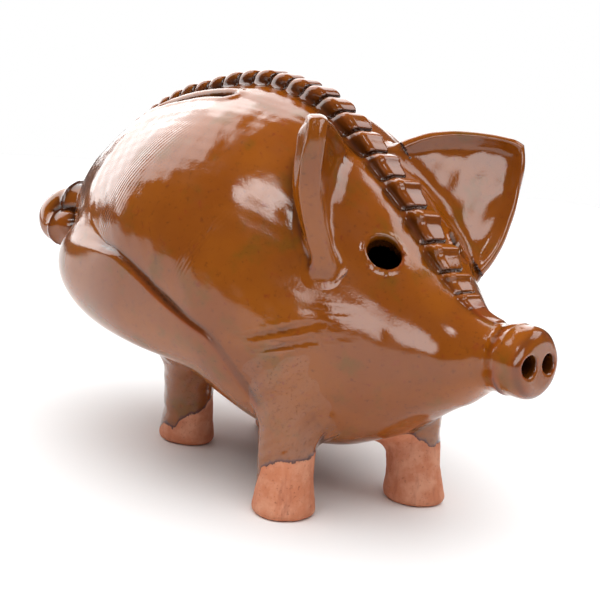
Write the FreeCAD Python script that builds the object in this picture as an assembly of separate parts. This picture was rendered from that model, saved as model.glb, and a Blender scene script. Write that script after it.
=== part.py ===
import FreeCAD, Part
import math
import os

# Hand-thrown redware piggy bank, glazed honey brown, standing on four bare clay feet.
# Millimetres. +X points to the snout, +Y to the pig's left, +Z up, and the feet stand on z = 0.

V = FreeCAD.Vector

# ---- the thrown pot that makes the body, belly and head -------------------------------------
# Each station is (x, top z, bottom z, half width) of one cross-section, from rump to neck.
BODY_STATIONS = [
    (-80.0, 70.0, 58.0, 6.4),
    (-76.5, 81.0, 50.0, 15.7),
    (-68.0, 90.0, 42.0, 25.0),
    (-52.0, 100.0, 34.5, 36.0),
    (-30.0, 110.0, 28.0, 47.0),
    (-5.0, 115.0, 26.0, 53.0),
    (20.0, 111.0, 18.5, 51.0),
    (38.0, 100.0, 14.5, 43.5),
    (54.0, 87.0, 20.0, 33.7),
    (68.0, 73.0, 28.5, 22.6),
    (80.0, 64.0, 36.5, 14.0),
    (93.0, 62.0, 43.0, 9.7),
]
WALL = 5.0
NECK_SOLID = 7.0
BODY_BANDS = 24

# ---- coin slot, eyes and belly hole ---------------------------------------------------------
SLOT_CENTRE = (-17.0, -20.0)
SLOT_LENGTH = 34.0
SLOT_WIDTH = 4.8
SLOT_BOTTOM_Z = 75.0
SLOT_TOP_Z = 135.0
EYE_CENTRE = (60.0, 16.2, 76.5)
EYE_DIRECTION = (0.38, 0.55, 0.74)
EYE_RADIUS = 4.7
EYE_DRILL = 22.0
BELLY_SEAT = (10.0, 0.0, 24.0)
BELLY_TILT = 14.0
BELLY_HOLE_RADIUS = 12.5
BELLY_FLAT_RADIUS = 15.2

# ---- snout ----------------------------------------------------------------------------------
SNOUT_CENTRE_Z = 53.3
SNOUT_RADIUS = 9.5
SNOUT_THICKNESS = 9.5
SNOUT_EDGE = 3.0
NOSTRILS = [(-4.2, 2.7), (4.0, 2.3)]

# ---- ears: front base, rear base, tip and the sides' bulge --------------------------------------
EARS = [
    ("ear_right", (51.0, -34.0, 71.0), (33.0, -13.0, 103.0), (56.0, -42.0, 110.5), 3.5),
    ("ear_left", (58.5, 31.0, 66.0), (34.0, 13.0, 102.5), (60.5, 42.5, 107.0), 3.5),
]
EAR_THICKNESS = 5.0
EAR_CORNER = 2.2
EAR_ROOT = 6.0

# ---- mane -----------------------------------------------------------------------------------
MANE_SPINE = [
    (-72.0, 85.5),
    (-61.0, 93.8),
    (-44.0, 103.6),
    (-27.5, 109.2),
    (-6.0, 113.8),
    (6.5, 113.2),
    (22.0, 109.0),
    (34.0, 101.5),
    (46.0, 92.5),
    (56.0, 84.0),
    (62.5, 77.0),
    (70.5, 69.0),
    (80.0, 61.7),
    (88.0, 58.5),
]
MANE_STRIP_HALF_WIDTH = 3.9
MANE_STRIP_HALF_DEPTH = 3.0
MANE_RIDGES = 25
MANE_CROWDING = 1.15
RIDGE_RADIUS = 4.3
RIDGE_LENGTH = 9.4
RIDGE_EDGE = 1.6
RIDGE_RISE = 1.5

# ---- tail: runs out of the rump, turns down and back on itself ---------------------------------
TAIL_ROOT = (-66.0, -11.0, 68.2)
TAIL_BEND = (-85.0, -17.0, 67.9)
TAIL_DROP = (0.0, -0.28, -1.0)
TAIL_BEND_RADIUS = 5.6
TAIL_RETURN = 7.0
TAIL_RADIUS = 4.2

# ---- legs: (node, foot x, foot y, top x, top y, top z) ---------------------------------------
LEGS = [
    ("leg_front_right", 43.0, -29.5, 40.0, -27.0, 42.0),
    ("leg_front_left", 57.0, 12.5, 50.0, 13.0, 40.0),
    ("leg_rear_right", -20.0, -11.0, -13.0, -18.0, 46.0),
    ("leg_rear_left", -12.0, 24.0, -10.0, 22.0, 46.0),
]
FOOT_RADIUS = 9.5
SHANK_RADIUS = 8.2
SHANK_Z = 14.0
TOP_RADIUS = 9.2
FOOT_EDGE = 1.5

# ---- haunches -------------------------------------------------------------------------------
THIGH_CENTRE = (-11.0, 34.0, 54.0)
THIGH_SEMI = (45.0, 19.0, 24.5)

# ---- rubber belly stopper -------------------------------------------------------------------
STOPPER_CLEARANCE = 0.08
STOPPER_FLANGE_RADIUS = 14.5
STOPPER_FLANGE = 1.8
STOPPER_DEPTH = 6.5
STOPPER_SEAT_GAP = 0.05

# ---- from the pot's own axis to the middle of the footprint, so the origin is under the middle --
ORIGIN_X = 3.4
ORIGIN_Y = 0.0


def guide(places, stops):
    """Heights or widths at the stops, read off a smooth curve through the (x, value) places."""
    curve = Part.BSplineCurve()
    curve.interpolate(Points=[V(x, 0, value) for x, value in places], Parameters=[x for x, value in places])
    return [curve.value(stop).z for stop in stops]


def oval(x, top, bottom, half_width):
    """One oval section of the pot, in the plane at x. It is wider than it is tall."""
    centre = V(x, 0, 0.5 * (top + bottom))
    height = 0.5 * (top - bottom)
    return Part.Wire([Part.Ellipse(centre + V(0, half_width, 0), centre + V(0, 0, height), centre).toShape()])


def oval_loft(sections):
    """Solid through oval sections, each (x, top, bottom, half width), in narrow straight-sided bands."""
    rear, front = sections[0][0], sections[-1][0]
    stops = [rear + (front - rear) * i / BODY_BANDS for i in range(BODY_BANDS + 1)]
    guides = [guide([(section[0], section[k]) for section in sections], stops) for k in (1, 2, 3)]
    return Part.makeLoft([oval(*place) for place in zip(stops, *guides)], True, True)


def pot_outside():
    return oval_loft(BODY_STATIONS)


def pot_inside():
    """The hollow: the outside drawn in by the wall, stopping short in the solid neck."""
    rear = BODY_STATIONS[0][0]
    length = BODY_STATIONS[-1][0] - rear
    ratio = (length - WALL - NECK_SOLID) / length
    sections = []
    for x, top, bottom, half_width in BODY_STATIONS:
        sections.append((rear + WALL + (x - rear) * ratio, top - WALL, bottom + WALL, half_width - WALL))
    return oval_loft(sections)


def coin_slot():
    """Slot with round ends, cut straight down beside the mane."""
    x, y = SLOT_CENTRE
    radius = 0.5 * SLOT_WIDTH
    straight = SLOT_LENGTH - SLOT_WIDTH
    height = SLOT_TOP_Z - SLOT_BOTTOM_Z
    cut = Part.makeBox(straight, SLOT_WIDTH, height, V(x - straight / 2, y - radius, SLOT_BOTTOM_Z))
    for end in (-1, 1):
        cut = cut.fuse(Part.makeCylinder(radius, height, V(x + end * straight / 2, y, SLOT_BOTTOM_Z)))
    return cut


def eye_hole(side):
    x, y, z = EYE_CENTRE
    direction = V(EYE_DIRECTION[0], side * EYE_DIRECTION[1], EYE_DIRECTION[2]).normalize()
    start = V(x, side * y, z) - direction * (EYE_DRILL / 2)
    return Part.makeCylinder(EYE_RADIUS, EYE_DRILL, start, direction)


def on_belly(shape):
    """Moves a shape built upwards from the origin to the belly hole, square to the belly there."""
    placed = shape.copy()
    placed.rotate(V(0, 0, 0), V(0, 1, 0), BELLY_TILT)
    placed.translate(V(*BELLY_SEAT))
    return placed


def belly_cut():
    """Round flat shaved on the belly, with the hole for the stopper in it."""
    hole = Part.makeCylinder(BELLY_HOLE_RADIUS, 3 * WALL, V(0, 0, -WALL))
    flat = Part.makeCylinder(BELLY_FLAT_RADIUS, 2 * WALL, V(0, 0, -2 * WALL))
    return on_belly(hole.fuse(flat))


def body_shell(outside):
    shell = outside.cut(pot_inside())
    shell = shell.cut(coin_slot())
    for side in (-1, 1):
        shell = shell.cut(eye_hole(side))
    return shell.cut(belly_cut())


def snout_disc():
    start = V(BODY_STATIONS[-1][0], 0, SNOUT_CENTRE_Z)
    disc = Part.makeCylinder(SNOUT_RADIUS, SNOUT_THICKNESS, start, V(1, 0, 0))
    rims = [edge for edge in disc.Edges if len(edge.Vertexes) == 1 and edge.CenterOfMass.x > start.x + 1]
    disc = disc.makeFillet(SNOUT_EDGE, rims)
    for y, radius in NOSTRILS:
        drill = Part.makeCylinder(radius, SNOUT_THICKNESS + 2, V(start.x - 1, y, SNOUT_CENTRE_Z), V(1, 0, 0))
        disc = disc.cut(drill)
    return disc


def ear(front, rear, tip, bulge, outside):
    """Rolled slab, pinched to a point and stood on the head behind the eye."""
    front, rear, tip = V(*front), V(*rear), V(*tip)
    normal = (rear - front).cross(tip - front).normalize()
    root = ((front + rear) * 0.5 - tip).normalize() * EAR_ROOT
    outline = [
        front + root,
        rear + root,
        rear,
        (rear + tip) * 0.5 - (front - tip).normalize() * bulge,
        tip,
        (front + tip) * 0.5 - (rear - tip).normalize() * bulge,
        front,
        front + root,
    ]
    slab = Part.Face(Part.makePolygon(outline)).extrude(normal * EAR_THICKNESS)
    slab.translate(normal * (-0.5 * EAR_THICKNESS))
    slab = slab.makeFillet(EAR_CORNER, slab.Edges)
    return slab.cut(outside)


def mane_strip(spine):
    """Low band of clay under the ridges, following the back in short straight runs."""
    points = []
    for x, z in MANE_SPINE:
        along = spine.tangent(spine.parameter(V(x, 0, z)))[0]
        points.append((V(x, -MANE_STRIP_HALF_WIDTH, z), along.cross(V(0, 1, 0)) * MANE_STRIP_HALF_DEPTH))
    upper = [point + across for point, across in points]
    lower = [point - across for point, across in reversed(points)]
    band = Part.Face(Part.makePolygon(upper + lower + [upper[0]]))
    return band.extrude(V(0, 2 * MANE_STRIP_HALF_WIDTH, 0))


def mane_crest(outside):
    """Clay band from rump to brow, pressed into rounded ridges that stand closer towards the rump."""
    spine = Part.BSplineCurve()
    spine.interpolate([V(x, 0, z) for x, z in MANE_SPINE])
    mane = mane_strip(spine)
    for i in range(MANE_RIDGES):
        run = spine.length() * (i / (MANE_RIDGES - 1)) ** MANE_CROWDING
        at = spine.value(spine.parameterAtDistance(run, spine.FirstParameter))
        start = V(at.x, -0.5 * RIDGE_LENGTH, at.z - RIDGE_RADIUS + MANE_STRIP_HALF_DEPTH + RIDGE_RISE)
        ridge = Part.makeCylinder(RIDGE_RADIUS, RIDGE_LENGTH, start, V(0, 1, 0))
        rims = [edge for edge in ridge.Edges if len(edge.Vertexes) == 1]
        mane = mane.fuse(ridge.makeFillet(RIDGE_EDGE, rims))
    return mane.cut(outside)


def tail(outside):
    root = V(*TAIL_ROOT)
    bend = V(*TAIL_BEND)
    out = (bend - root).normalize()
    axis = out.cross(V(*TAIL_DROP)).normalize()
    down = axis.cross(out)
    coil = Part.makeCylinder(TAIL_RADIUS, (bend - root).Length, root, out)
    disc = Part.Face(Part.Wire([Part.makeCircle(TAIL_RADIUS, bend, out)]))
    coil = coil.fuse(disc.revolve(bend + down * TAIL_BEND_RADIUS, axis, 180.0))
    back = bend + down * (2 * TAIL_BEND_RADIUS)
    coil = coil.fuse(Part.makeCylinder(TAIL_RADIUS, TAIL_RETURN, back, -out))
    coil = coil.fuse(Part.makeSphere(TAIL_RADIUS, back - out * TAIL_RETURN))
    return coil.cut(outside)


def leg(foot_x, foot_y, top_x, top_y, top_z, outside):
    """Stubby stump, wider at the foot, cut to sit against the belly."""
    foot = V(foot_x, foot_y, 0)
    lean = V(top_x - foot_x, top_y - foot_y, 0)
    base = Part.Wire([Part.makeCircle(FOOT_RADIUS, foot)])
    middle = Part.Wire([Part.makeCircle(SHANK_RADIUS, foot + lean * (SHANK_Z / top_z) + V(0, 0, SHANK_Z))])
    top = Part.Wire([Part.makeCircle(TOP_RADIUS, foot + lean + V(0, 0, top_z))])
    stump = Part.makeLoft([base, middle, top], True, True)
    rims = [edge for edge in stump.Edges if edge.BoundBox.ZMax < 0.1]
    stump = stump.makeFillet(FOOT_EDGE, rims)
    return stump.cut(outside)


def thigh(side, outside):
    """Pad of clay smoothed on to the flank over the rear leg."""
    x, y, z = THIGH_CENTRE
    ball = Part.makeSphere(1.0)
    stretch = FreeCAD.Matrix()
    stretch.scale(*THIGH_SEMI)
    ball = ball.transformGeometry(stretch)
    ball.translate(V(x, side * y, z))
    return ball.cut(outside)


def belly_stopper():
    under = -STOPPER_SEAT_GAP - STOPPER_FLANGE
    flange = Part.makeCylinder(STOPPER_FLANGE_RADIUS, STOPPER_FLANGE, V(0, 0, under))
    plug_radius = BELLY_HOLE_RADIUS - STOPPER_CLEARANCE
    plug = Part.makeCylinder(plug_radius, STOPPER_DEPTH + STOPPER_FLANGE, V(0, 0, under))
    return on_belly(flange.fuse(plug).removeSplitter())


def biggest(shape):
    return max(shape.Solids, key=lambda solid: solid.Volume)


def main():
    outside = pot_outside()
    thighs = {"thigh_right": thigh(-1, outside), "thigh_left": thigh(1, outside)}
    shapes = {
        "body_shell": body_shell(outside),
        "snout_disc": snout_disc(),
        "mane_crest": mane_crest(outside),
        "tail": tail(outside),
        "belly_stopper": belly_stopper(),
    }
    shapes.update(thighs)
    for name, front, rear, tip, bulge in EARS:
        shapes[name] = ear(front, rear, tip, bulge, outside)
    for name, foot_x, foot_y, top_x, top_y, top_z in LEGS:
        shapes[name] = leg(foot_x, foot_y, top_x, top_y, top_z, outside)
    for name in ("leg_rear_right", "leg_rear_left"):
        for pad in thighs.values():
            shapes[name] = shapes[name].cut(pad)
    os.makedirs("parts", exist_ok=True)
    for name, shape in shapes.items():
        solid = biggest(shape)
        solid.translate(V(-ORIGIN_X, -ORIGIN_Y, 0))
        solid.exportStep(f"parts/{name}.step")


main()
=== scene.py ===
import math

import bpy
import numpy as np
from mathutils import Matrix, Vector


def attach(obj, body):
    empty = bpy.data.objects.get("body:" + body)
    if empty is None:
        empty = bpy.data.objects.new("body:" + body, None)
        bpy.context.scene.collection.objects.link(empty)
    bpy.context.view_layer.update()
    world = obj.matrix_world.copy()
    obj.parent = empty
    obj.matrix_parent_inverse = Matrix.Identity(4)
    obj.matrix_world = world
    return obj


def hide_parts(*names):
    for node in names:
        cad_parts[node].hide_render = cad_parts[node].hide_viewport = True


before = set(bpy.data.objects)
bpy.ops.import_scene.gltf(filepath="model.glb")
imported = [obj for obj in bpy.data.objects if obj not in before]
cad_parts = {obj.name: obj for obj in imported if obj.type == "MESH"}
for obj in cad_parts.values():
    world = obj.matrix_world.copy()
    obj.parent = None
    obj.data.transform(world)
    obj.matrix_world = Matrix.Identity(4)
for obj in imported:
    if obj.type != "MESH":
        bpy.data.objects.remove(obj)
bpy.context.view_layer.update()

# ---------------------------------------------------------------------------------------------
# The clay is described as distance fields in millimetres, in the pot's own axes, and every piece
# is meshed from its field. SHIFT moves the pot's axes to the row frame.
# ---------------------------------------------------------------------------------------------
SHIFT = np.array([-3.4, 0.0, 0.0])
MM = 0.001
WALL = 5.0

# x, top, bottom, half width of the thrown pot, from the closed rump to the neck
STATIONS = np.array([
    (-81.3, 65.0, 65.0, 0.0),
    (-80.0, 71.0, 57.0, 7.0),
    (-76.5, 81.0, 50.0, 15.0),
    (-68.0, 90.0, 42.0, 25.0),
    (-52.0, 100.0, 34.5, 36.0),
    (-30.0, 110.0, 28.0, 47.0),
    (-5.0, 115.0, 26.0, 53.0),
    (20.0, 111.0, 18.5, 51.0),
    (38.0, 100.0, 14.5, 43.5),
    (54.0, 87.0, 20.0, 33.5),
    (68.0, 73.0, 28.5, 22.5),
    (80.0, 64.0, 36.5, 13.5),
    (89.0, 61.9, 43.2, 9.3),
    (97.0, 61.6, 44.6, 8.7),
])


def smooth_min(a, b, k):
    """Union of two fields with a fillet about k wide."""
    h = np.clip(0.5 + 0.5 * (b - a) / k, 0.0, 1.0)
    return b + (a - b) * h - k * h * (1.0 - h)


def smooth_max(a, b, k):
    """Intersection of two fields with its edge rounded about k wide."""
    return -smooth_min(-a, -b, k)


def monotone_curve(xs, ys, at):
    """Monotone cubic through (xs, ys) at the points asked for."""
    step = np.diff(xs)
    rise = np.diff(ys) / step
    slope = np.zeros(len(xs))
    for i in range(1, len(xs) - 1):
        if rise[i - 1] * rise[i] > 0:
            w1 = 2 * step[i] + step[i - 1]
            w2 = step[i] + 2 * step[i - 1]
            slope[i] = (w1 + w2) / (w1 / rise[i - 1] + w2 / rise[i])
    slope[0], slope[-1] = rise[0], rise[-1]
    j = np.clip(np.searchsorted(xs, at) - 1, 0, len(xs) - 2)
    t = (at - xs[j]) / step[j]
    return ((1 + 2 * t) * (1 - t) ** 2 * ys[j] + t * (1 - t) ** 2 * step[j] * slope[j]
            + t * t * (3 - 2 * t) * ys[j + 1] + t * t * (t - 1) * step[j] * slope[j + 1])


def natural_spline(xs, ys, at):
    """Natural cubic spline through (xs, ys) at the points asked for."""
    n = len(xs)
    h = np.diff(xs)
    system = np.zeros((n, n))
    right = np.zeros(n)
    system[0, 0] = system[-1, -1] = 1
    for i in range(1, n - 1):
        system[i, i - 1], system[i, i], system[i, i + 1] = h[i - 1], 2 * (h[i - 1] + h[i]), h[i]
        right[i] = 6 * ((ys[i + 1] - ys[i]) / h[i] - (ys[i] - ys[i - 1]) / h[i - 1])
    m = np.linalg.solve(system, right)
    j = np.clip(np.searchsorted(xs, at) - 1, 0, n - 2)
    left, rest = at - xs[j], xs[j + 1] - at
    return ((m[j] * rest ** 3 + m[j + 1] * left ** 3) / (6 * h[j])
            + (ys[j] / h[j] - m[j] * h[j] / 6) * rest + (ys[j + 1] / h[j] - m[j + 1] * h[j] / 6) * left)


# the pot's middle height, and the squares of its half height and half width, at close steps along x
TABLE_X = np.arange(STATIONS[0, 0], STATIONS[-1, 0], 0.1)
CENTRE = 0.5 * (STATIONS[:, 1] + STATIONS[:, 2])
RISE = 0.5 * (STATIONS[:, 1] - STATIONS[:, 2])
TABLE_C = monotone_curve(STATIONS[:, 0], CENTRE, TABLE_X)
TABLE_R2 = monotone_curve(STATIONS[:, 0], RISE ** 2, TABLE_X) + 1e-3
TABLE_H2 = monotone_curve(STATIONS[:, 0], STATIONS[:, 3] ** 2, TABLE_X) + 1e-3
SLOPE_C = np.gradient(TABLE_C, TABLE_X)
SLOPE_R2 = np.gradient(TABLE_R2, TABLE_X)
SLOPE_H2 = np.gradient(TABLE_H2, TABLE_X)
RUMP_END = TABLE_X[0] + 0.3


def wobble(p, scale, seed):
    """Soft unevenness of hand-worked clay: a few sine waves in seeded directions, about -1 to 1."""
    rng = np.random.default_rng(seed)
    total = np.zeros(len(p))
    for _ in range(5):
        way = rng.normal(size=3)
        way *= 2 * math.pi / scale / np.linalg.norm(way) * rng.uniform(0.6, 1.5)
        total += np.sin(p @ way + rng.uniform(0, 2 * math.pi))
    return total / 3.2


def segment(p, a, b):
    """Distance to a segment and how far along it."""
    a = np.asarray(a, float)
    b = np.asarray(b, float)
    along = b - a
    t = np.clip((p - a) @ along / (along @ along), 0, 1)
    return np.linalg.norm(p - a - t[:, None] * along, axis=1), t


def axis_places(p, at, way):
    """How far along the axis through at in the unit direction way, and how far off it."""
    rel = p - at
    along = rel @ way
    return along, np.linalg.norm(rel - along[:, None] * way, axis=1)


# ---------------------------------------------------------------------------------------------
# The pot
# ---------------------------------------------------------------------------------------------
# the coin slot seen from above, its lowest cut, and the height of its lip
SLOT_AT = (-17.0, -20.0)
SLOT_HALF = 16.5
SLOT_HALF_WIDTH = 2.1
SLOT_TURN = math.radians(2.0)
SLOT_BOTTOM = 85.0
SLOT_LIP = 0.55
# the eyes: a place on each axis, and the way it points
EYE_AT = np.array([60.0, 16.2, 76.5])
EYE_WAY = np.array([0.38, 0.55, 0.74])
EYES = [(EYE_AT * (1, side, 1), EYE_WAY * (1, side, 1) / np.linalg.norm(EYE_WAY)) for side in (-1, 1)]
EYE_RADIUS = 4.6
EYE_REACH = 12
EYE_LIP = 0.5
# where the hollow ends inside the snout, and where the neck is cut square for the disc
HOLLOW_END = 84.0
NECK_END = 93.5
# height, width and seed of the unevenness of the wall
UNEVEN = [(0.45, 46.0, 3), (0.16, 15.0, 4), (0.05, 6.0, 5)]
RING_HEIGHT = 0.035
CREASE_DEPTH = 0.14
# the belly hole: where its axis meets the seat, its tilt, its bore, and the recess for the flange
BELLY_SEAT = np.array([10.0, 0.0, 24.0])
BELLY_TILT = math.radians(14.0)
BELLY_BORE = 12.55
BELLY_RECESS = 15.3
BELLY_DEEP = 9.0
# start, end, depth, half width of the knife marks on the right flank
SLASHES = [((35.0, -45.0, 49.8), (55.5, -33.0, 57.8), 0.5, 0.9),
           ((39.0, -42.6, 47.2), (54.0, -33.8, 52.6), 0.45, 0.85),
           ((47.0, -37.5, 50.6), (60.0, -28.0, 54.4), 0.16, 0.9),
           ((50.0, -35.0, 60.0), (62.0, -26.5, 61.5), 0.16, 1.0)]
# the haunch pads, seen from the side: a line from the rump down and forward to the belly, and how
# far above it the pad's edge stands
HAUNCH_AT = (-14.0, 50.0)
HAUNCH_TILT = math.radians(25.0)
HAUNCH_EDGE = 16.8


def haunch_outline(p):
    """How far outside the pad's edge, seen from the side, and the places along and square to the line.

    The edge droops at both ends.
    """
    x, z = p[:, 0] - HAUNCH_AT[0], p[:, 2] - HAUNCH_AT[1]
    along = x * math.cos(HAUNCH_TILT) - z * math.sin(HAUNCH_TILT)
    square = x * math.sin(HAUNCH_TILT) + z * math.cos(HAUNCH_TILT)
    behind = np.maximum(-along, 0)
    ahead = np.maximum(along - 36, 0)
    edge = HAUNCH_EDGE - 0.14 * behind ** 1.5 - 0.168 * ahead ** 1.5 + 0.4 * np.sin(along / 5.3)
    lean = 0.21 * behind ** 0.5 + 0.25 * ahead ** 0.5
    return (square - edge) / np.sqrt(1 + lean * lean), along, square


def pot_plain(p):
    """Distance to the thrown pot before anything is cut or pressed into it."""
    x = np.clip(p[:, 0], RUMP_END, TABLE_X[-1])
    c = np.interp(x, TABLE_X, TABLE_C)
    r2 = np.interp(x, TABLE_X, TABLE_R2)
    h2 = np.interp(x, TABLE_X, TABLE_H2)
    y = p[:, 1]
    z = p[:, 2] - c
    q = np.sqrt(y * y / h2 + z * z / r2 + 1e-9)
    gx = -(y * y * np.interp(x, TABLE_X, SLOPE_H2) / (2 * h2 * h2)
           + z * z * np.interp(x, TABLE_X, SLOPE_R2) / (2 * r2 * r2)
           + z * np.interp(x, TABLE_X, SLOPE_C) / r2) / q
    grad = np.sqrt((y / h2 / q) ** 2 + (z / r2 / q) ** 2 + gx ** 2) + 1e-6
    beyond = np.maximum(RUMP_END - p[:, 0], 0)
    return np.clip((q - 1) / grad, -30, 30) + beyond


def slot_distance(p):
    """Distance to the coin slot's outline, seen from above."""
    x = p[:, 0] - SLOT_AT[0]
    y = p[:, 1] - SLOT_AT[1]
    u = x * math.cos(SLOT_TURN) + y * math.sin(SLOT_TURN)
    v = -x * math.sin(SLOT_TURN) + y * math.cos(SLOT_TURN)
    u = np.maximum(np.abs(u) - (SLOT_HALF - SLOT_HALF_WIDTH), 0)
    return np.hypot(u, v) - SLOT_HALF_WIDTH


def slot_cut(p):
    return np.maximum(slot_distance(p), SLOT_BOTTOM - p[:, 2])


def eye_cut(p, at, way):
    along, off = axis_places(p, at, way)
    return np.maximum(off - EYE_RADIUS, np.abs(along) - EYE_REACH)


def pot(p):
    """Outside of the pot with its unevenness, throwing rings, lips and knife marks."""
    d = pot_plain(p)
    near = np.abs(d) < 8
    q = p[near]
    e = d[near]
    for height, width, seed in UNEVEN:
        e = e - height * wobble(q, width, seed)
    # throwing rings, strongest over the rump and flank
    x = q[:, 0] + 0.05 * (q[:, 2] - 65) + 0.5 * wobble(q, 60.0, 6)
    rings = 0.5 * np.sin(x * 2 * math.pi / 6.3) + 0.3 * np.sin(x * 2 * math.pi / 3.7 + 1.0)
    where = np.clip((x + 80) / 12, 0, 1) * np.clip((40 - x) / 30, 0, 1)
    e = e - RING_HEIGHT * rings * where * (0.6 + 0.4 * wobble(q, 33.0, 7))
    # soft raised lips round the coin slot and the eyes
    slot = slot_distance(q)
    e = e - SLOT_LIP * np.exp(-((slot - 1.4) / 1.5) ** 2) * (q[:, 2] > 80)
    for at, way in EYES:
        along, off = axis_places(q, at, way)
        e = e - EYE_LIP * np.exp(-((off - EYE_RADIUS - 0.6) / 0.9) ** 2) * (np.abs(along) < 9)
    # fine crease along the edge of the haunch pads
    outside, along, _ = haunch_outline(q)
    reach = np.clip((along + 30) / 22, 0, 1) * np.clip((58 - along) / 8, 0, 1)
    e = e + CREASE_DEPTH * reach * np.exp(-((outside - 0.5) / 0.7) ** 2)
    # knife marks, each with a burr on both sides
    for a, b, depth, half in SLASHES:
        off, t = segment(q, a, b)
        fade = np.sin(math.pi * np.clip(t, 0.03, 0.97)) ** 0.4
        e = e + depth * fade * np.exp(-(off / half) ** 2)
        e = e - 0.3 * depth * fade * np.exp(-((off - 2.0 * half) / (0.8 * half)) ** 2)
    d[near] = e
    return d


def belly_axes(p):
    """How far below the seat, square to the belly, and how far from the hole's axis."""
    out = np.array([-math.sin(BELLY_TILT), 0.0, -math.cos(BELLY_TILT)])
    return axis_places(p, BELLY_SEAT, out)


def pot_shell(p):
    """The pot made hollow and cut through by slot, eyes and belly hole."""
    d = pot(p)
    hollow = smooth_max(pot_plain(p) + WALL, p[:, 0] - HOLLOW_END, 3.0)
    d = np.maximum(d, -hollow)
    d = np.maximum(d, p[:, 0] - NECK_END)
    d = smooth_max(d, -slot_cut(p), 1.2)
    for at, way in EYES:
        d = smooth_max(d, -eye_cut(p, at, way), 0.9)
    down, across = belly_axes(p)
    bore = np.maximum(across - BELLY_BORE, -down - BELLY_DEEP)
    hole = np.minimum(bore, np.maximum(across - BELLY_RECESS, -down))
    return smooth_max(d, -hole, 0.4)


# ---------------------------------------------------------------------------------------------
# Applied clay
# ---------------------------------------------------------------------------------------------
# the middle of the foot, the lean over LEG_RISE, the foot's half sizes in x and y, and a seed
LEGS = {
    "leg_front_right": dict(foot=(43.0, -29.0), lean=(-3.0, 2.5), wide=(9.6, 9.3), seed=11),
    "leg_front_left": dict(foot=(57.0, 12.3), lean=(-7.0, 0.5), wide=(9.4, 9.5), seed=12),
    "leg_rear_right": dict(foot=(-20.0, -11.0), lean=(7.0, -7.0), wide=(9.6, 9.2), seed=13),
    "leg_rear_left": dict(foot=(-12.0, 24.0), lean=(2.0, -2.0), wide=(9.4, 9.3), seed=14),
}
LEG_RISE = 40.0
LEG_TOP = 46.0
# turns a share of the foot's half size into millimetres
LEG_RADIUS = 9.2


def leg(p, spec):
    """Rolled peg of clay, flared at the foot, with the soft flats left by fingers."""
    z = p[:, 2]
    t = z / LEG_RISE
    cx = spec["foot"][0] + spec["lean"][0] * t
    cy = spec["foot"][1] + spec["lean"][1] * t
    flare = 1.0 - 0.16 * np.clip(z / 11.0, 0, 1) ** 0.8 + 0.10 * np.clip((z - 20) / 14.0, 0, 2)
    x = (p[:, 0] - cx) / spec["wide"][0]
    y = (p[:, 1] - cy) / spec["wide"][1]
    around = np.arctan2(y, x)
    facets = 0.018 * np.cos(3 * around + spec["seed"]) + 0.012 * np.cos(5 * around + 2 * spec["seed"])
    radial = (np.hypot(x, y) - flare * (1 + facets)) * LEG_RADIUS
    radial = radial - 0.22 * wobble(p, 9.0, spec["seed"]) - 0.05 * wobble(p, 3.0, spec["seed"] + 50)
    return smooth_max(smooth_max(radial, -z, 2.6), z - LEG_TOP, 2.0)


THIGHS = {"thigh_right": -1, "thigh_left": 1}
HIP_AT = np.array([-11.0, 34.0, 56.5])
HIP_SIZE = np.array([45.0, 19.0, 21.5])
PAD_THICK = 1.15
# how far the pad reaches below its line and forward along it, and how near the middle of the belly
PAD_BELOW, PAD_AHEAD, PAD_INNER = 24.0, 58.0, 8.0


def thigh(p, side):
    """Swelling over the hip, and a pad of clay smoothed forward from it to a sharp front edge."""
    rel = (p - HIP_AT * (1, side, 1)) / HIP_SIZE
    q = np.linalg.norm(rel, axis=1) + 1e-6
    grad = np.linalg.norm(rel / HIP_SIZE, axis=1) / q
    hip = np.clip((q - 1) / grad, -18, 18)
    outside, along, square = haunch_outline(p)
    thick = PAD_THICK * np.clip((along + 34) / 26, 0, 1) * np.clip((square + 22) / 16, 0, 1)
    pad = smooth_max(pot_plain(p) - thick, outside, 2.0)
    ends = np.maximum(-square - PAD_BELOW, along - PAD_AHEAD)
    pad = np.maximum(pad, np.maximum(PAD_INNER - side * p[:, 1], ends))
    behind = np.clip((-6.0 - along) / 16.0, 0, 1)
    hip = smooth_max(hip, outside - 9.0 * behind, 3.0)
    return smooth_min(hip, pad, 6.0) - 0.22 * wobble(p, 22.0, 21 + side)


# rear base corner, front base corner, tip, depth of the cup, bulge of the outline, half thickness, seed
EARS = {
    "ear_right": dict(a=(34.0, -13.5, 100.5), b=(50.5, -29.5, 68.0), t=(54.5, -42.5, 112.0),
                      cup=3.4, bulge=3.2, half=3.0, seed=31),
    "ear_left": dict(a=(35.0, 13.0, 101.5), b=(58.0, 29.0, 65.0), t=(60.5, 42.5, 105.5),
                     cup=3.4, bulge=4.2, half=2.3, seed=32),
}
# how far the slab goes into the head, the rounding of its margin, and how far the margin rolls
EAR_SUNK = 7.0
EAR_ROUND = 1.7
EAR_ROLL = 1.6


def polygon_distance(flat, corners):
    """Signed distance to the outline of a polygon given anticlockwise."""
    inside = np.ones(len(flat), bool)
    near = np.full(len(flat), 1e9)
    for i, start in enumerate(corners):
        start = np.array(start)
        end = np.array(corners[(i + 1) % len(corners)])
        e = end - start
        s = np.clip((flat - start) @ e / (e @ e), 0, 1)
        near = np.minimum(near, np.linalg.norm(flat - start - s[:, None] * e, axis=1))
        inside &= (e[0] * (flat[:, 1] - start[1]) - e[1] * (flat[:, 0] - start[0])) > 0
    return np.where(inside, -near, near)


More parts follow.
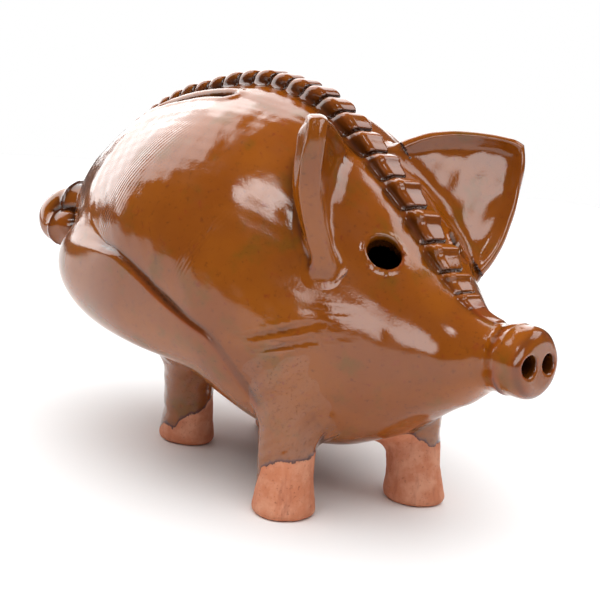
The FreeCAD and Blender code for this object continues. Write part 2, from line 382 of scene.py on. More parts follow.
def ear(p, spec):
    """Cupped slab: a rounded triangle in its own plane, sunk in the middle, with its margin rolled forward.
    """
    a, b, t = (np.array(spec[k]) for k in "abt")
    u = (b - a) / np.linalg.norm(b - a)
    w = np.cross(b - a, t - a)
    w /= np.linalg.norm(w)
    if w[0] < 0:
        w = -w
    v = np.cross(w, u)
    if (t - a) @ v < 0:
        v = -v
    rel = p - a
    pu, pv, pw = rel @ u, rel @ v, rel @ w
    length = np.linalg.norm(b - a)
    tip_u, tip_v = (t - a) @ u, (t - a) @ v
    corners = [(0.0, -EAR_SUNK), (length, -EAR_SUNK), (length, 0.0), (tip_u, tip_v), (0.0, 0.0)]
    outline = polygon_distance(np.stack([pu, pv], 1), corners)
    high = np.clip(pv / tip_v, -0.4, 1.2)
    mid = np.clip(pu / length, -0.2, 1.2)
    arch = np.sin(math.pi * np.clip(high, 0, 1))
    # bulged upper and outer edges
    outline = smooth_max(outline - spec["bulge"] * arch ** 0.8, pv - tip_v, 5.0)
    # cup: the face sinks in the middle, and the margin rolls forward
    bend = -spec["cup"] * arch * np.sin(math.pi * np.clip(mid, 0, 1)) ** 0.7
    bend = bend + EAR_ROLL * np.exp(-((outline + 1.5) / 2.2) ** 2) * (high > 0.05)
    bend = bend + 0.35 * wobble(p, 17.0, spec["seed"])
    half = spec["half"] * (1.15 - 0.3 * high)
    dx = outline + EAR_ROUND
    dy = np.abs(pw - bend) - (half - EAR_ROUND)
    outside = np.hypot(np.maximum(dx, 0), np.maximum(dy, 0))
    slab = outside + np.minimum(np.maximum(dx, dy), 0) - EAR_ROUND
    return slab - 0.1 * wobble(p, 7.0, spec["seed"] + 9)


# the foot of the mane along the middle of the back, x and z
MANE_LINE = np.array([
    (-72.0, 88.0), (-61.0, 96.2), (-44.0, 105.6), (-27.5, 110.7), (-6.0, 114.7), (6.5, 114.0),
    (22.0, 109.8), (34.0, 102.3), (46.0, 93.3), (56.0, 84.8), (62.5, 77.8), (70.5, 69.8), (80.0, 62.8),
    (88.0, 60.0),
])
MANE_LIFT = 1.2
# where each pressed ridge stands along the back
RIDGES = np.array([-69.0, -66.3, -63.0, -59.2, -54.8, -49.6, -43.6, -37.4, -30.6, -23.5, -16.3, -9.0,
                   -1.7, 5.6, 12.6, 19.5, 26.1, 32.6, 39.8, 47.4, 55.6, 63.2, 70.0, 75.6, 80.6])


def mane_frame():
    """Close steps along the mane's line: x, z, unit direction and length so far."""
    x = np.linspace(MANE_LINE[0, 0], MANE_LINE[-1, 0], 700)
    z = natural_spline(MANE_LINE[:, 0], MANE_LINE[:, 1], x) + MANE_LIFT
    dx, dz = np.gradient(x), np.gradient(z)
    size = np.hypot(dx, dz)
    along = np.concatenate([[0], np.cumsum(np.hypot(np.diff(x), np.diff(z)))])
    return x, z, dx / size, dz / size, along


MANE_X, MANE_Z, MANE_TX, MANE_TZ, MANE_S = mane_frame()
MANE_STEP = 0.27
RIDGE_S = np.interp(RIDGES, MANE_X, MANE_S)


def mane(p):
    """Strip of clay pressed into rounded bars that lean forward, each with a low tread before it."""
    last = len(MANE_X) - 1
    index = np.clip(np.round((p[:, 0] - MANE_X[0]) / (MANE_X[1] - MANE_X[0])).astype(int), 0, last)
    for _ in range(3):
        move = (p[:, 0] - MANE_X[index]) * MANE_TX[index] + (p[:, 2] - MANE_Z[index]) * MANE_TZ[index]
        index = np.clip(index + np.round(move / MANE_STEP).astype(int), 0, last)
    rx, rz = p[:, 0] - MANE_X[index], p[:, 2] - MANE_Z[index]
    over = rx * MANE_TX[index] + rz * MANE_TZ[index]
    up = -rx * MANE_TZ[index] + rz * MANE_TX[index]
    s = MANE_S[index] + over
    y = p[:, 1] - 0.5 * np.sin(s / 23.0)
    fade = np.clip((MANE_S[-1] - 2 - s) / 22.0, 0.12, 1.0) * np.clip((s + 3) / 12.0, 0.72, 1.0)
    slant = s - 0.42 * up - 0.10 * y
    tooth = np.interp(slant, RIDGE_S, np.arange(len(RIDGE_S)))
    u = tooth - np.floor(tooth)
    j = np.floor(tooth)
    uneven = 0.3 * np.sin(j * 2.4) + 0.25 * np.sin(j * 5.1 + 1)
    forward = np.clip((s - 105) / 30, 0, 1)
    swell = np.sin(math.pi * u) ** 0.6
    bar = np.exp(-((u - 0.24) / 0.17) ** 2)
    groove = np.exp(-(np.minimum(u, 1 - u) / 0.055) ** 2)
    high = fade * (2.6 + (1.3 - 0.7 * forward) * swell + 1.3 * forward * bar - 0.5 * groove + 0.3 * uneven)
    wide = (0.72 + 0.28 * fade) * (3.5 + 0.9 * swell + 0.5 * forward * bar - 0.3 * groove + 0.3 * uneven)
    r = np.minimum(2.0, 0.9 * high)
    ax = np.abs(y) - (wide - r)
    az = np.abs(up) - (high - r)
    strip = np.hypot(np.maximum(ax, 0), np.maximum(az, 0)) + np.minimum(np.maximum(ax, az), 0) - r
    return np.maximum(strip, np.maximum(-s - 3, s - MANE_S[-1] + 1)) * 0.8


# places along the middle of the tail, and its radius there
TAIL = np.array([
    (-68.0, -11.0, 69.0, 6.0), (-78.0, -13.5, 68.6, 5.6), (-85.2, -16.3, 66.6, 5.6),
    (-88.4, -18.4, 63.2, 5.6), (-86.6, -19.6, 60.2, 5.6), (-82.4, -20.2, 59.4, 5.4),
    (-78.0, -20.6, 60.8, 4.8),
])
TAIL_STEPS = np.linspace(0, len(TAIL) - 1, 60)
TAIL_FINE = np.stack([natural_spline(np.arange(len(TAIL)), TAIL[:, k], TAIL_STEPS) for k in range(4)], 1)


def tail(p):
    """Coil of clay curled under, its end tucked against the root."""
    d = np.full(len(p), 1e9)
    for place in TAIL_FINE:
        d = np.minimum(d, np.linalg.norm(p - place[:3], axis=1) - place[3])
    return d - 0.12 * wobble(p, 8.0, 41)


SNOUT_Z = 53.4
SNOUT_RADIUS = 9.8
SNOUT_FRONT = 102.3
SNOUT_REAR = 92.6
# the nostrils: y, height above the middle, half width and half height
NOSTRILS = [(-4.1, 0.3, 3.1, 2.8), (3.9, 0.0, 2.5, 2.5)]


def snout(p):
    """Flattened disc, with a slightly dished face."""
    y = p[:, 1] / 1.03
    z = p[:, 2] - SNOUT_Z
    rho = np.hypot(y, z)
    lean = p[:, 0] + 0.06 * z
    front = SNOUT_FRONT - 0.5 * np.clip(1 - rho / 6.0, 0, 1)
    body = smooth_max(rho - SNOUT_RADIUS - 0.25 * np.cos(2 * np.arctan2(z, y) + 0.6), lean - front, 4.2)
    body = smooth_max(body, SNOUT_REAR - lean, 4.0)
    return body - 0.16 * wobble(p, 9.0, 51)


def snout_cuts(p):
    """The two nostrils, as deep as the disc."""
    d = np.full(len(p), 1e9)
    for y, z, half_y, half_z in NOSTRILS:
        oy = (p[:, 1] - y - 0.08 * (p[:, 0] - 98) * np.sign(y)) / half_y
        oz = (p[:, 2] - SNOUT_Z - z) / half_z
        hole = (np.hypot(oy, oz) - 1) * min(half_y, half_z)
        d = np.minimum(d, np.maximum(hole, NECK_END - p[:, 0]))
    return d


# ---------------------------------------------------------------------------------------------
# Meshing a field
# ---------------------------------------------------------------------------------------------
BLOCK = 4
CHUNK = 200000
FAR = 9.0
NORMAL_REACH = 0.12
CORNERS = [(i, j, k) for i in (0, 1) for j in (0, 1) for k in (0, 1)]


def in_chunks(field, points):
    return np.concatenate([field(part) for part in np.array_split(points, max(1, len(points) // CHUNK))])


def spread(blocks):
    """One value per block, repeated for each of its voxels."""
    return np.repeat(np.repeat(np.repeat(blocks, BLOCK, 0), BLOCK, 1), BLOCK, 2)


def sample_band(field, low, high, h):
    """The field on a grid of step h: true near the surface, and only its sign elsewhere."""
    counts = (np.ceil((np.array(high) - low) / h / BLOCK).astype(int)) * BLOCK
    coarse = counts // BLOCK
    axes = [low[i] + h * (np.arange(coarse[i]) * BLOCK + (BLOCK - 1) / 2) for i in range(3)]
    grid = np.stack(np.meshgrid(*axes, indexing="ij"), -1).reshape(-1, 3)
    rough = in_chunks(field, grid).reshape(coarse)
    values = spread(np.where(rough > 0, FAR, -FAR))
    mask = spread(np.abs(rough) < h * BLOCK * 1.6)
    values[mask] = in_chunks(field, low + np.argwhere(mask) * h)
    return values


def net_cells(values):
    """Grid cells that the surface passes through, and the middle of its crossings in each."""
    inside = values < 0
    n = np.array(values.shape) - 1
    total = np.zeros(n, np.int8)
    for i, j, k in CORNERS:
        total += inside[i:n[0] + i, j:n[1] + j, k:n[2] + k]
    cells = np.argwhere((total > 0) & (total < 8))
    position = np.zeros((len(cells), 3))
    weight = np.zeros(len(cells))
    for a in CORNERS:
        for axis in range(3):
            if a[axis]:
                continue
            b = tuple(1 if q == axis else a[q] for q in range(3))
            va = values[cells[:, 0] + a[0], cells[:, 1] + a[1], cells[:, 2] + a[2]]
            vb = values[cells[:, 0] + b[0], cells[:, 1] + b[1], cells[:, 2] + b[2]]
            cross = (va < 0) != (vb < 0)
            t = np.where(cross, va / np.where(cross, va - vb, 1), 0)
            position += (np.array(a, float) + np.eye(3)[axis] * t[:, None]) * cross[:, None]
            weight += cross
    return cells, position / weight[:, None]


def net_faces(inside, cells):
    """A quad across each grid edge that crosses the surface, turned outward."""
    number = np.full(np.array(inside.shape) - 1, -1, np.int64)
    number[tuple(cells.T)] = np.arange(len(cells))
    faces = []
    for axis in range(3):
        u, v = (axis + 1) % 3, (axis + 2) % 3
        sizes = list(enumerate(inside.shape))
        lower = inside[tuple(slice(0, s - 1) if q == axis else slice(1, s - 1) for q, s in sizes)]
        upper = inside[tuple(slice(1, s) if q == axis else slice(1, s - 1) for q, s in sizes)]
        for flip, crossing in ((False, lower & ~upper), (True, ~lower & upper)):
            edges = np.argwhere(crossing)
            edges[:, u] += 1
            edges[:, v] += 1
            quad = []
            for du, dv in ((1, 1), (0, 1), (0, 0), (1, 0)):
                cell = edges.copy()
                cell[:, u] -= du
                cell[:, v] -= dv
                quad.append(number[tuple(cell.T)])
            quad = np.stack(quad, 1)
            faces.append(quad[:, ::-1] if flip else quad)
    return np.concatenate(faces)


def mesh_field(field, low, high, h):
    """Surface-net quads of field = 0 in a box, with vertices drawn on to the surface."""
    low = np.array(low, float)
    values = sample_band(field, low, high, h)
    cells, position = net_cells(values)
    faces = net_faces(values < 0, cells)
    vertices = low + (cells + position) * h
    for _ in range(2):
        value, grad = slope(field, vertices, 0.25 * h)
        vertices = vertices - np.clip(value, -0.6 * h, 0.6 * h)[:, None] * grad
    _, normals = slope(field, vertices, NORMAL_REACH)
    return vertices, faces, normals


def slope(field, p, e):
    """Value and unit gradient of a field."""
    d = field(p)
    g = np.stack([field(p + e * np.eye(3)[i]) - field(p - e * np.eye(3)[i]) for i in range(3)], 1)
    size = np.linalg.norm(g, axis=1)[:, None] + 1e-9
    value = d * (2 * e) / size[:, 0]
    return np.clip(value, -2, 2), g / size


def make_piece(name, field, low, high, h, marks=None):
    """Object meshed from a field, smooth shaded with the field's own normals, and its marks."""
    vertices, faces, normals = mesh_field(field, low, high, h)
    mesh = bpy.data.meshes.new(name)
    mesh.from_pydata(((vertices + SHIFT) * MM).tolist(), [], faces.tolist())
    mesh.validate()
    mesh.update()
    mesh.polygons.foreach_set("use_smooth", np.ones(len(mesh.polygons), bool))
    mesh.normals_split_custom_set_from_vertices(normals.tolist())
    if marks:
        for label, values in marks(vertices, normals).items():
            layer = mesh.attributes.new(label, "FLOAT", "POINT")
            layer.data.foreach_set("value", values.astype(np.float32))
    piece = bpy.data.objects.new(name, mesh)
    bpy.context.scene.collection.objects.link(piece)
    return piece


# how far a fillet's margin dips under the clay it sits on, and how deep a piece is rooted in it
SINK = 0.05
ROOT = 3.4


def pot_body(p):
    """The pot as the solid that the other clay is luted on to."""
    return np.maximum(pot(p), p[:, 0] - NECK_END)


def applied(own, base, k):
    """A luted piece: blended into what it sits on, then kept only near itself and within the wall."""
    def field(p):
        mine = own(p)
        under = base(p)
        fillet = k(p) if callable(k) else k
        d = smooth_min(mine, under, fillet) + SINK
        d = np.maximum(d, mine - (fillet + 0.4))
        return np.maximum(d, -(under + ROOT))
    return field


def leg_field(name):
    return lambda p: leg(p, LEGS[name])


def thigh_field(name):
    return lambda p: thigh(p, THIGHS[name])


def ear_field(name):
    return lambda p: ear(p, EARS[name])


def haunch_fillet(p):
    """Sharp along the front edge, smeared smooth behind."""
    _, along, _ = haunch_outline(p)
    return 0.8 + 5.0 * np.clip((-8.0 - along) / 24.0, 0, 1)


def haunched_body(p):
    return smooth_min(smooth_min(pot_body(p), thigh(p, -1), 3.0), thigh(p, 1), 3.0)


def smeared(p):
    """Uneven fillet of a leg thumbed on to the belly."""
    return 6.0 + 1.5 * wobble(p, 10.0, 61)


OWN = {"snout_disc": snout, "mane_crest": mane, "tail": tail}
OWN.update({name: ear_field(name) for name in EARS})
OWN.update({name: thigh_field(name) for name in THIGHS})
OWN.update({name: leg_field(name) for name in LEGS})


def uncut_clay(p):
    """Everything together before slot, eyes and nostrils are cut."""
    d = pot_body(p)
    for own in OWN.values():
        d = smooth_min(d, own(p), 1.0)
    return d


def all_clay(p):
    """Everything together, for finding hollows and edges where the glaze runs and where shade is painted
    into the hollows.
    """
    d = smooth_max(uncut_clay(p), -slot_cut(p), 0.5)
    for at, way in EYES:
        d = np.maximum(d, -eye_cut(p, at, way))
    return np.maximum(d, -snout_cuts(p))


# bands of fine lines left by the potter's rib: place, half width, lowest, highest, and fade in height
RIB_LEAN = 0.45
RIB_PITCH = 1.25
RIB_BANDS = [(-4.0, 4.0, 66, 106, 8), (34.0, 2.4, 62, 84, 6)]


def ring_mark(p):
    """How strongly the rib lines show."""
    place = p[:, 0] - RIB_LEAN * (p[:, 2] - 100.0)
    total = 0.0
    for middle, half, lowest, highest, fade in RIB_BANDS:
        band = np.exp(-((place - middle) / half) ** 2) * np.clip((p[:, 2] - lowest) / fade, 0, 1)
        total = total + band * np.clip((highest - p[:, 2]) / fade, 0, 1)
    return total * (np.abs(p[:, 1]) > 20)


def clay_marks(vertices, normals):
    """The pooling mark: how far the spot is down a hollow or inside a cut, used both for glaze pooled there
    and for painted shade. thin: how sharp an edge it stands on. rings: rib lines.
    """
    here = all_clay(vertices)
    glaze_pool_and_shade = np.zeros(len(vertices))
    thin = np.zeros(len(vertices))
    # the short reaches follow glaze pooled in creases; the widest reach darkens broad hollows such as
    # between ear and head, which is painted shade
    for reach in (0.7, 1.8, 4.0, 9.0):
        glaze_pool_and_shade += np.clip((reach + here - all_clay(vertices + reach * normals)) / reach, 0, 1) / 4
    for reach in (0.5, 1.1):
        thin += np.clip((reach - here + all_clay(vertices - reach * normals)) / reach, 0, 1) / 2
    # painted shade: the walls inside the slot, eye holes and nostrils are marked fully dark
    deep = np.clip((-uncut_clay(vertices) - 0.8) / 2.5, 0, 1)
    return {"glaze_pool_and_shade": np.maximum(glaze_pool_and_shade, deep), "thin": thin, "rings": ring_mark(vertices)}


# each leg's mean height of the dip line, its tilt, the way it rises, and drips as (way, width, length)
DIP = {
    "leg_front_right": (16.2, 1.6, 0.6, [(-2.35, 0.30, 8.5), (1.4, 0.25, 3.0)]),
    "leg_front_left": (19.5, 2.0, -2.4, [(2.0, 0.3, 4.0)]),
    "leg_rear_right": (10.5, 7.0, 0.75, [(-1.2, 0.2, 2.0)]),
    "leg_rear_left": (14.0, 3.0, 2.2, [(2.4, 0.3, 4.0), (-0.4, 0.2, 2.5)]),
}


def leg_marks(name):
    """The usual marks, and dip: how far above the edge of the glaze."""
    spec = LEGS[name]
    height, tilt, toward, drips = DIP[name]

    def marks(vertices, normals):
        found = clay_marks(vertices, normals)
        around = np.arctan2(vertices[:, 1] - spec["foot"][1], vertices[:, 0] - spec["foot"][0])
        line = height + tilt * np.cos(around - toward) + 0.7 * np.sin(3 * around + spec["seed"])
        line = line + 0.35 * np.sin(7 * around + 2 * spec["seed"])
        for way, width, length in drips:
            turn = np.angle(np.exp(1j * (around - way)))
            line = line - length * np.exp(-(turn / width) ** 2)
        found["dip"] = vertices[:, 2] - line
        return found
    return marks


PLUG_RADIUS = 12.38
PLUG_LENGTH = 6.4
FLANGE_RADIUS = 14.4
RIB_SPACING = 2.6


def stopper(p):
    """Moulded rubber plug: domed flange with a finger dimple, and a plug with two soft ribs."""
    down, across = belly_axes(p)
    flange = smooth_max(across - FLANGE_RADIUS + 0.05 * down, np.abs(down - 0.95) - 0.85, 0.9)
    rib = PLUG_RADIUS - 0.18 * (1 - np.cos(2 * math.pi * down / RIB_SPACING))
    plug = smooth_max(across - rib, np.maximum(-down - PLUG_LENGTH, down - 1.0), 1.0)
    body = smooth_min(flange, plug, 0.3)
    dimple = np.hypot(across, down - 4.6) - 4.1
    ring = np.hypot(across - 10.6, down - 1.8) - 0.35
    return smooth_max(smooth_max(body, -dimple, 0.8), -ring, 0.3)


# ---------------------------------------------------------------------------------------------
# Materials
# ---------------------------------------------------------------------------------------------
def srgb(r, g, b):
    """Linear colour of a display colour from 0 to 255."""
    def linear(c):
        c = c / 255.0
        return c / 12.92 if c <= 0.04045 else ((c + 0.055) / 1.055) ** 2.4
    return (linear(r), linear(g), linear(b), 1.0)


class Nodes:
    """Short calls for building a node tree."""

    def __init__(self, name):
        self.material = bpy.data.materials.new(name)
        self.material.use_nodes = True
        self.tree = self.material.node_tree
        self.shader = self.tree.nodes["Principled BSDF"]
        self.where = self.new("ShaderNodeTexCoord").outputs["Object"]

    def new(self, kind):
        return self.tree.nodes.new(kind)

    def feed(self, socket, value):
        if isinstance(value, bpy.types.NodeSocket):
            self.tree.links.new(value, socket)
        else:
            socket.default_value = value

    def noise(self, size, detail=3.0, rough=0.5, stretch=None):
        """Noise with features about size millimetres across."""
        node = self.new("ShaderNodeTexNoise")
        place = self.where
        if stretch:
            scale = self.new("ShaderNodeVectorMath")
            scale.operation = "MULTIPLY"
            self.feed(scale.inputs[0], place)
            scale.inputs[1].default_value = stretch
            place = scale.outputs[0]
        self.feed(node.inputs["Vector"], place)
        node.inputs["Scale"].default_value = 1000.0 / size
        node.inputs["Detail"].default_value = detail
        node.inputs["Roughness"].default_value = rough
        return node.outputs["Fac"]

    def lines(self, way, pitch):
        """Slightly wandering parallel lines square to way, pitch in millimetres."""
        node = self.new("ShaderNodeVectorMath")
        node.operation = "DOT_PRODUCT"
        self.feed(node.inputs[0], self.where)
        node.inputs[1].default_value = way
        phase = self.math("MULTIPLY", node.outputs["Value"], 2 * math.pi / (pitch * MM))
        wander = self.math("MULTIPLY", self.noise(14.0, 2.0), 9.0)
        return self.math("SINE", self.math("ADD", phase, wander))

    def mark(self, name):
        """A value carried by the piece's own points."""
        node = self.new("ShaderNodeAttribute")
        node.attribute_name = name
        return node.outputs["Fac"]

    def ramp(self, value, low, high, to_low=0.0, to_high=1.0):
        """Soft step from to_low at low to to_high at high."""
        node = self.new("ShaderNodeMapRange")
        self.feed(node.inputs["Value"], value)
        ends = {"From Min": low, "From Max": high, "To Min": to_low, "To Max": to_high}
        for label, number in ends.items():
            node.inputs[label].default_value = number
        node.interpolation_type = "SMOOTHSTEP"
        return node.outputs["Result"]

    def math(self, how, a, b=0.0):
        node = self.new("ShaderNodeMath")
        node.operation = how
        self.feed(node.inputs[0], a)
        self.feed(node.inputs[1], b)
        return node.outputs[0]

    def mix(self, share, a, b):
        node = self.new("ShaderNodeMix")
        node.data_type = "RGBA"
        self.feed(node.inputs[0], share)
        self.feed(node.inputs[6], a)
        self.feed(node.inputs[7], b)
        return node.outputs[2]

    def bump(self, height, depth, before=None):
        """Bump of a height map, depth in millimetres."""
        node = self.new("ShaderNodeBump")
        self.feed(node.inputs["Height"], height)
        node.inputs["Distance"].default_value = depth * MM
        if before is not None:
            self.feed(node.inputs["Normal"], before)
        return node.outputs["Normal"]

    def set(self, **values):
        for label, value in values.items():
            self.feed(self.shader.inputs[label.replace("_", " ")], value)


HONEY = srgb(136, 69, 11)
AMBER = srgb(151, 81, 15)
OLIVE = srgb(100, 77, 13)
# dark glaze colour for specks and pooling, also used as painted shade in hollows and cuts
DARK_GLAZE_AND_SHADE = srgb(52, 23, 6)
THIN_RED = srgb(142, 55, 25)


def glaze_colour(n):
    """Honey brown clouded with amber, flecked with olive and dark specks, red on edges, and dark in hollows
    and cuts from pooled glaze and painted shade.
    """
    colour = n.mix(n.ramp(n.noise(26.0), 0.35, 0.68), HONEY, AMBER)
    colour = n.mix(n.ramp(n.noise(11.0, 4.0, 0.6), 0.52, 0.72, 0.0, 0.45), colour, OLIVE)
    colour = n.mix(n.ramp(n.noise(1.6, 4.0, 0.7), 0.56, 0.72, 0.0, 0.35), colour, DARK_GLAZE_AND_SHADE)
    colour = n.mix(n.ramp(n.noise(3.2, 3.0, 0.6), 0.6, 0.75, 0.0, 0.4), colour, THIN_RED)
    colour = n.mix(n.ramp(n.mark("thin"), 0.12, 0.5, 0.0, 0.6), colour, THIN_RED)
    # pooled glaze and painted shade: hollows and the insides of cuts darkened
    colour = n.mix(n.ramp(n.mark("glaze_pool_and_shade"), 0.10, 0.50, 0.0, 0.9), colour, DARK_GLAZE_AND_SHADE)
    return colour


def glaze_bump(n):
    """Fine orange peel, a slow waviness, and the rib lines where the clay carries them."""
    fine = n.bump(n.noise(0.55, 2.0), 0.03)
    slow = n.bump(n.noise(4.5, 2.0), 0.05, fine)
    lines = n.lines((1.0, 0.0, -RIB_LEAN), RIB_PITCH)
    return n.bump(n.math("MULTIPLY", lines, n.mark("rings")), 0.06, slow)


def make_glaze():
    """Glossy glaze with a slightly uneven shine."""
    n = Nodes("honey_glaze")
    n.set(Base_Color=glaze_colour(n), Normal=glaze_bump(n), IOR=1.55, Coat_Weight=0.08, Coat_Roughness=0.03)
    n.set(Roughness=n.ramp(n.noise(7.0, 3.0), 0.3, 0.8, 0.05, 0.16))
    return n.material


BARE = srgb(206, 124, 84)
BARE_PALE = srgb(222, 154, 120)
BARE_DARK = srgb(168, 88, 56)
RIM = srgb(92, 44, 36)


def make_dipped():
    """Bare clay below the dip line, a dark rim at the line, glaze above."""
    n = Nodes("dipped_clay")
    ragged = n.math("ADD", n.mark("dip"), n.ramp(n.noise(2.4, 4.0, 0.7), 0.2, 0.8, -0.7, 0.7))
    clay = n.mix(n.ramp(n.noise(5.0, 4.0, 0.6), 0.35, 0.7), BARE, BARE_PALE)
    clay = n.mix(n.ramp(n.noise(3.0, 4.0, 0.6, (1.0, 1.0, 0.12)), 0.5, 0.75, 0.0, 0.55), clay, BARE_DARK)
    pits = n.ramp(n.noise(0.7, 3.0, 0.7), 0.60, 0.70)
    clay = n.mix(n.math("MULTIPLY", pits, 0.6), clay, BARE_DARK)
    glossy = n.ramp(ragged, 0.0, 0.35)
    colour = n.mix(n.ramp(ragged, -0.2, 0.1), clay, RIM)
    colour = n.mix(n.ramp(ragged, 0.2, 1.4), colour, glaze_colour(n))
    step = n.bump(glossy, 0.25, n.bump(n.math("MULTIPLY", pits, -1.0), 0.15, glaze_bump(n)))
    n.set(Base_Color=colour, Normal=step, IOR=1.55)
    n.set(Roughness=n.math("SUBTRACT", 0.75, n.math("MULTIPLY", glossy, 0.66)))
    n.set(Coat_Weight=n.math("MULTIPLY", glossy, 0.5), Coat_Roughness=0.03)
    return n.material


def make_rubber():
    """Dull dark rubber."""
    n = Nodes("stopper_rubber")
    n.set(Base_Color=n.mix(n.ramp(n.noise(2.0, 4.0), 0.3, 0.75), srgb(38, 34, 32), srgb(64, 58, 54)))
    n.set(Roughness=n.ramp(n.noise(1.2, 3.0), 0.3, 0.7, 0.42, 0.62), Normal=n.bump(n.noise(0.5, 2.0), 0.03))
    return n.material


# ---------------------------------------------------------------------------------------------
# Pieces
# ---------------------------------------------------------------------------------------------
# low corner, high corner and voxel of the box that each piece is meshed in
POT_BOX = ((-86.0, -58.0, 8.0), (96.0, 58.0, 122.0), 1.05)
PLUG_BOX = ((-12.0, -18.0, 14.0), (26.0, 18.0, 38.0), 0.45)
# the same for the applied clay, and its fillet into what it sits on
BOXES = {
    "snout_disc": ((86.0, -14.0, 39.0), (106.0, 14.0, 68.0), 0.38, 3.2),
    "mane_crest": ((-80.0, -9.0, 50.0), (92.0, 9.0, 124.0), 0.5, 1.6),
    "tail": ((-98.0, -29.0, 48.0), (-60.0, -2.0, 78.0), 0.42, 4.0),
    "ear_right": ((24.0, -52.0, 60.0), (68.0, -4.0, 120.0), 0.5, 4.0),
    "ear_left": ((24.0, 4.0, 54.0), (72.0, 52.0, 118.0), 0.5, 4.0),
    "thigh_right": ((-66.0, -60.0, 12.0), (50.0, -4.0, 86.0), 0.75, haunch_fillet),
    "thigh_left": ((-66.0, 4.0, 12.0), (50.0, 60.0, 86.0), 0.75, haunch_fillet),
    "leg_front_right": ((26.0, -46.0, -2.0), (60.0, -10.0, 52.0), 0.5, smeared),
    "leg_front_left": ((36.0, -4.0, -2.0), (74.0, 30.0, 52.0), 0.5, smeared),
    "leg_rear_right": ((-38.0, -36.0, -2.0), (8.0, 6.0, 52.0), 0.5, smeared),
    "leg_rear_left": ((-32.0, 4.0, -2.0), (8.0, 42.0, 52.0), 0.5, smeared),
}


def piece_field(name):
    fillet = BOXES[name][3]
    base = haunched_body if name.startswith("leg_rear") else pot_body
    joined = applied(OWN[name], base, fillet)
    if name == "snout_disc":
        return lambda p: smooth_max(joined(p), -snout_cuts(p), 1.0)
    return joined


def build_pieces():
    glaze = make_glaze()
    dipped = make_dipped()
    pot_piece = make_piece("thrown_pot", pot_shell, *POT_BOX, clay_marks)
    made = [("body_shell", pot_piece, glaze, "honey_glaze", "pig")]
    for name, (low, high, voxel, _) in BOXES.items():
        is_leg = name in LEGS
        marks = leg_marks(name) if is_leg else clay_marks
        piece = make_piece(name + "_clay", piece_field(name), low, high, voxel, marks)
        material, slot = (dipped, "dipped_clay") if is_leg else (glaze, "honey_glaze")
        made.append((name, piece, material, slot, "pig"))
    plug = make_piece("belly_plug", stopper, *PLUG_BOX)
    made.append(("belly_stopper", plug, make_rubber(), "stopper_rubber", "stopper"))
    for node, piece, material, slot, body in made:
        piece.data.materials.append(material)
        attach(piece, body)
        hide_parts(node)


# ---------------------------------------------------------------------------------------------
# Studio
# ---------------------------------------------------------------------------------------------
# metres from here on
FLOOR_RADIUS = 0.8
COVE_HEIGHT = 1.6
COVE_STEPS = 16
ROUND_STEPS = 96


def ring_mesh(name, profile):
    """Surface of revolution about z through (radius, z) places; a first radius of 0 closes it."""
    turns = [2 * math.pi * i / ROUND_STEPS for i in range(ROUND_STEPS)]
    points = [(r * math.cos(t), r * math.sin(t), z) for r, z in profile for t in turns]
    faces = []
    for row in range(len(profile) - 1):
        for i in range(ROUND_STEPS):
            following = (i + 1) % ROUND_STEPS
            a, b = row * ROUND_STEPS, (row + 1) * ROUND_STEPS
            faces.append((a + i, a + following, b + following, b + i))
    mesh = bpy.data.meshes.new(name)
    mesh.from_pydata(points, [], faces)
    mesh.polygons.foreach_set("use_smooth", np.ones(len(faces), bool))
    piece = bpy.data.objects.new(name, mesh)
    bpy.context.scene.collection.objects.link(piece)
    return piece


def make_floor():
    """Pale floor, and a plain pale cove round it that only the camera sees."""
    n = Nodes("studio_floor")
    n.set(Base_Color=(0.93, 0.93, 0.93, 1.0), Roughness=0.7, Specular_IOR_Level=0.1)
    floor = ring_mesh("floor", [(0.001, 0.0), (FLOOR_RADIUS, 0.0)])
    floor.data.materials.append(n.material)
    profile = [(FLOOR_RADIUS, 0.0)]
    for i in range(1, COVE_STEPS + 1):
        turn = 0.5 * math.pi * i / COVE_STEPS
        profile.append((FLOOR_RADIUS + COVE_HEIGHT * math.sin(turn), COVE_HEIGHT * (1 - math.cos(turn))))
    profile.append((FLOOR_RADIUS + COVE_HEIGHT, 4 * COVE_HEIGHT))
    c = Nodes("studio_cove")
    c.set(Base_Color=(0.0, 0.0, 0.0, 1.0), Roughness=1.0)
    c.set(Specular_IOR_Level=0.0, Emission_Color=(1.0, 1.0, 1.0, 1.0), Emission_Strength=1.0)
    cove = ring_mesh("cove", profile)
    cove.data.materials.append(c.material)
    cove.visible_glossy = False
    cove.visible_diffuse = False
    cove.visible_shadow = False


AIM = np.array([0.0, 0.0, 0.055])
# The panel's azimuth, elevation, distance, width, height, turn in its own plane, and radiance.
# The overhead panel lights the clay and the floor evenly; the others are only mirrored in the glaze.
OVERHEAD = "overhead"
PANELS = {
    "rear_panel": (-82.0, 33.0, 1.0, 1.05, 1.2, 0.0, 2.6),
    "back_panel": (-132.0, 29.0, 1.0, 0.8, 1.1, 0.0, 2.0),
    "front_panel": (62.0, 19.0, 1.1, 1.15, 0.42, 16.0, 3.6),
    "lamp": (34.0, 52.0, 1.1, 0.2, 0.2, 0.0, 6.0),
    "far_panel": (150.0, 42.0, 1.2, 0.8, 0.6, 0.0, 2.4),
    OVERHEAD: (0.0, 89.0, 1.3, 3.0, 3.0, 0.0, 1.8),
}
# Cycles gives a rectangle of light a quarter of its power per square metre as radiance
POWER_PER_RADIANCE = 4.0


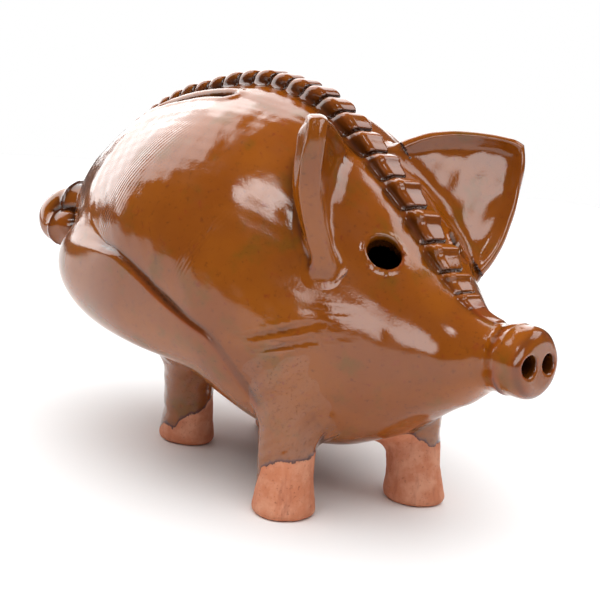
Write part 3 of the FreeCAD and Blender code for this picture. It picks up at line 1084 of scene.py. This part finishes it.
def make_panel(name, azimuth, elevation, distance, width, height, turn, radiance):
    a, e = math.radians(azimuth), math.radians(elevation)
    way = Vector((math.sin(a) * math.cos(e), -math.cos(a) * math.cos(e), math.sin(e)))
    light = bpy.data.lights.new(name, "AREA")
    light.shape = "RECTANGLE"
    light.size, light.size_y = width, height
    light.energy = POWER_PER_RADIANCE * radiance * width * height
    panel = bpy.data.objects.new(name, light)
    level = way.to_track_quat("Z", "Y").to_matrix().to_4x4()
    panel.matrix_world = (Matrix.Translation(Vector(AIM) + way * distance) @ level
                          @ Matrix.Rotation(math.radians(turn), 4, "Z"))
    panel.visible_camera = False
    panel.visible_glossy = name != OVERHEAD
    panel.visible_diffuse = name == OVERHEAD
    bpy.context.scene.collection.objects.link(panel)


WORLD_STRENGTH = 0.1


def make_world():
    world = bpy.data.worlds.new("studio")
    world.use_nodes = True
    world.node_tree.nodes["Background"].inputs["Color"].default_value = (1.0, 1.0, 1.0, 1.0)
    world.node_tree.nodes["Background"].inputs["Strength"].default_value = WORLD_STRENGTH
    bpy.context.scene.world = world


CAMERA_AT = (0.269419, -0.267138, 0.131248)
CAMERA_AZIMUTH, CAMERA_DOWN, CAMERA_ROLL = (math.radians(angle) for angle in (44.0, 12.0, 5.0))

SENSOR_WIDTH = 36.0
LENS = 75.0


def make_camera():
    a, p, r = CAMERA_AZIMUTH, CAMERA_DOWN, CAMERA_ROLL
    right = np.array([math.cos(a), math.sin(a), 0.0])
    ahead = np.array([-math.sin(a) * math.cos(p), math.cos(a) * math.cos(p), -math.sin(p)])
    up = np.cross(right, ahead)
    side = math.cos(r) * right + math.sin(r) * up
    top = -math.sin(r) * right + math.cos(r) * up
    data = bpy.data.cameras.new("camera")
    data.sensor_width = SENSOR_WIDTH
    data.lens = LENS
    camera = bpy.data.objects.new("camera", data)
    placed = Matrix.Identity(4)
    for row in range(3):
        placed[row][0], placed[row][1], placed[row][2] = side[row], top[row], -ahead[row]
        placed[row][3] = CAMERA_AT[row]
    camera.matrix_world = placed
    bpy.context.scene.collection.objects.link(camera)
    bpy.context.scene.camera = camera


build_pieces()
make_floor()
make_world()
for label, panel in PANELS.items():
    make_panel(label, *panel)
make_camera()
bpy.context.scene.view_settings.view_transform = "Standard"
